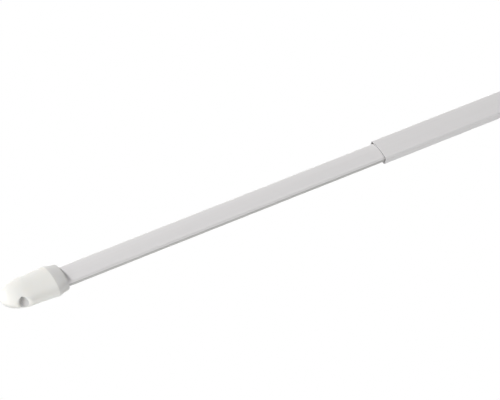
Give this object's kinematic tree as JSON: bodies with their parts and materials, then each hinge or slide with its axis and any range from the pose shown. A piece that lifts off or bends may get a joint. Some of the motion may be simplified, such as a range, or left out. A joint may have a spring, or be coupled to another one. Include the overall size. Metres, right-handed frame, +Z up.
{
  "type": "cafe curtain rod",
  "caption": "Flat telescopic cafe curtain rod of white painted sheet steel, with moulded bullet-shaped end caps that hang on upturned hook pins.",
  "frame": {"origin": "on the axis of the left pin hole, at the rod's mid height", "axes": "+X along the rod from the left cap to the right cap, -Y to the room, +Z up as hung"},
  "size_m": [0.634, 0.0097, 0.0176],
  "materials": {
    "rail_paint": "satin white enamel on rolled sheet steel",
    "cap_plastic": "satin white injection moulding"
  },
  "bodies": {
    "inner_side": {"inner_rail": "rail_paint", "left_end_cap": "cap_plastic"},
    "outer_side": {"outer_rail": "rail_paint", "right_end_cap": "cap_plastic"}
  },
  "joints": [
    {"name": "rail_slide", "type": "slide", "parent": "inner_side", "child": "outer_side", "axis": [1, 0, 0], "range_m": [-0.154, 0.18]}
  ]
}
